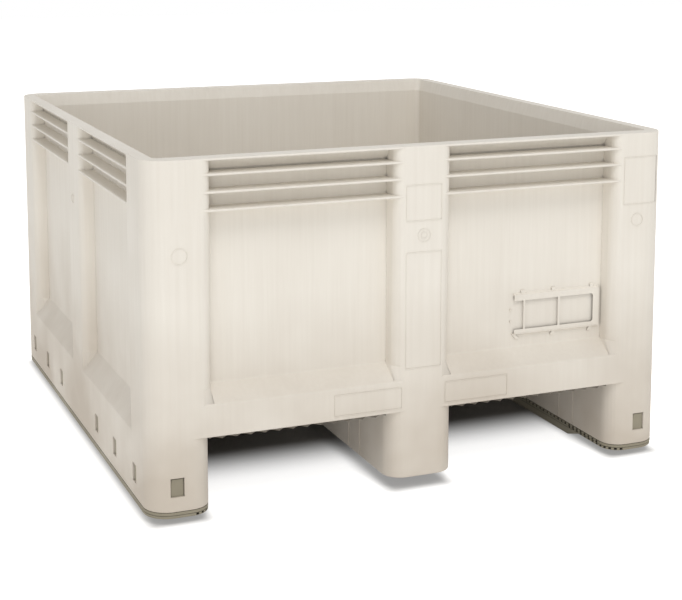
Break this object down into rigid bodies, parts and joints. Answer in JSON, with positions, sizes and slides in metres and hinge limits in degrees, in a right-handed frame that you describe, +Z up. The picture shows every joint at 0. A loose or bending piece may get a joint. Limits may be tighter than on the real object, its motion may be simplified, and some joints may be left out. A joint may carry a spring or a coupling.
{
  "type": "bulk harvest bin",
  "caption": "Solid-wall plastic bulk bin with open top, fork pockets through both sides of a centre leg, and snap-in skid runners.",
  "frame": {"origin": "centre of the footprint on the ground", "axes": "+Z up, Y along the fork pockets and the skid runners, -Y the front with the card holder, X across the legs"},
  "size_m": [1.13, 1.219, 0.7],
  "materials": {
    "bone_polyethylene": "matt moulded",
    "khaki_polyethylene": "matt moulded"
  },
  "bodies": {
    "root": {"bin_body": "bone_polyethylene", "card_holder": "bone_polyethylene", "left_skid_runner": "khaki_polyethylene", "right_skid_runner": "khaki_polyethylene"}
  },
  "joints": []
}
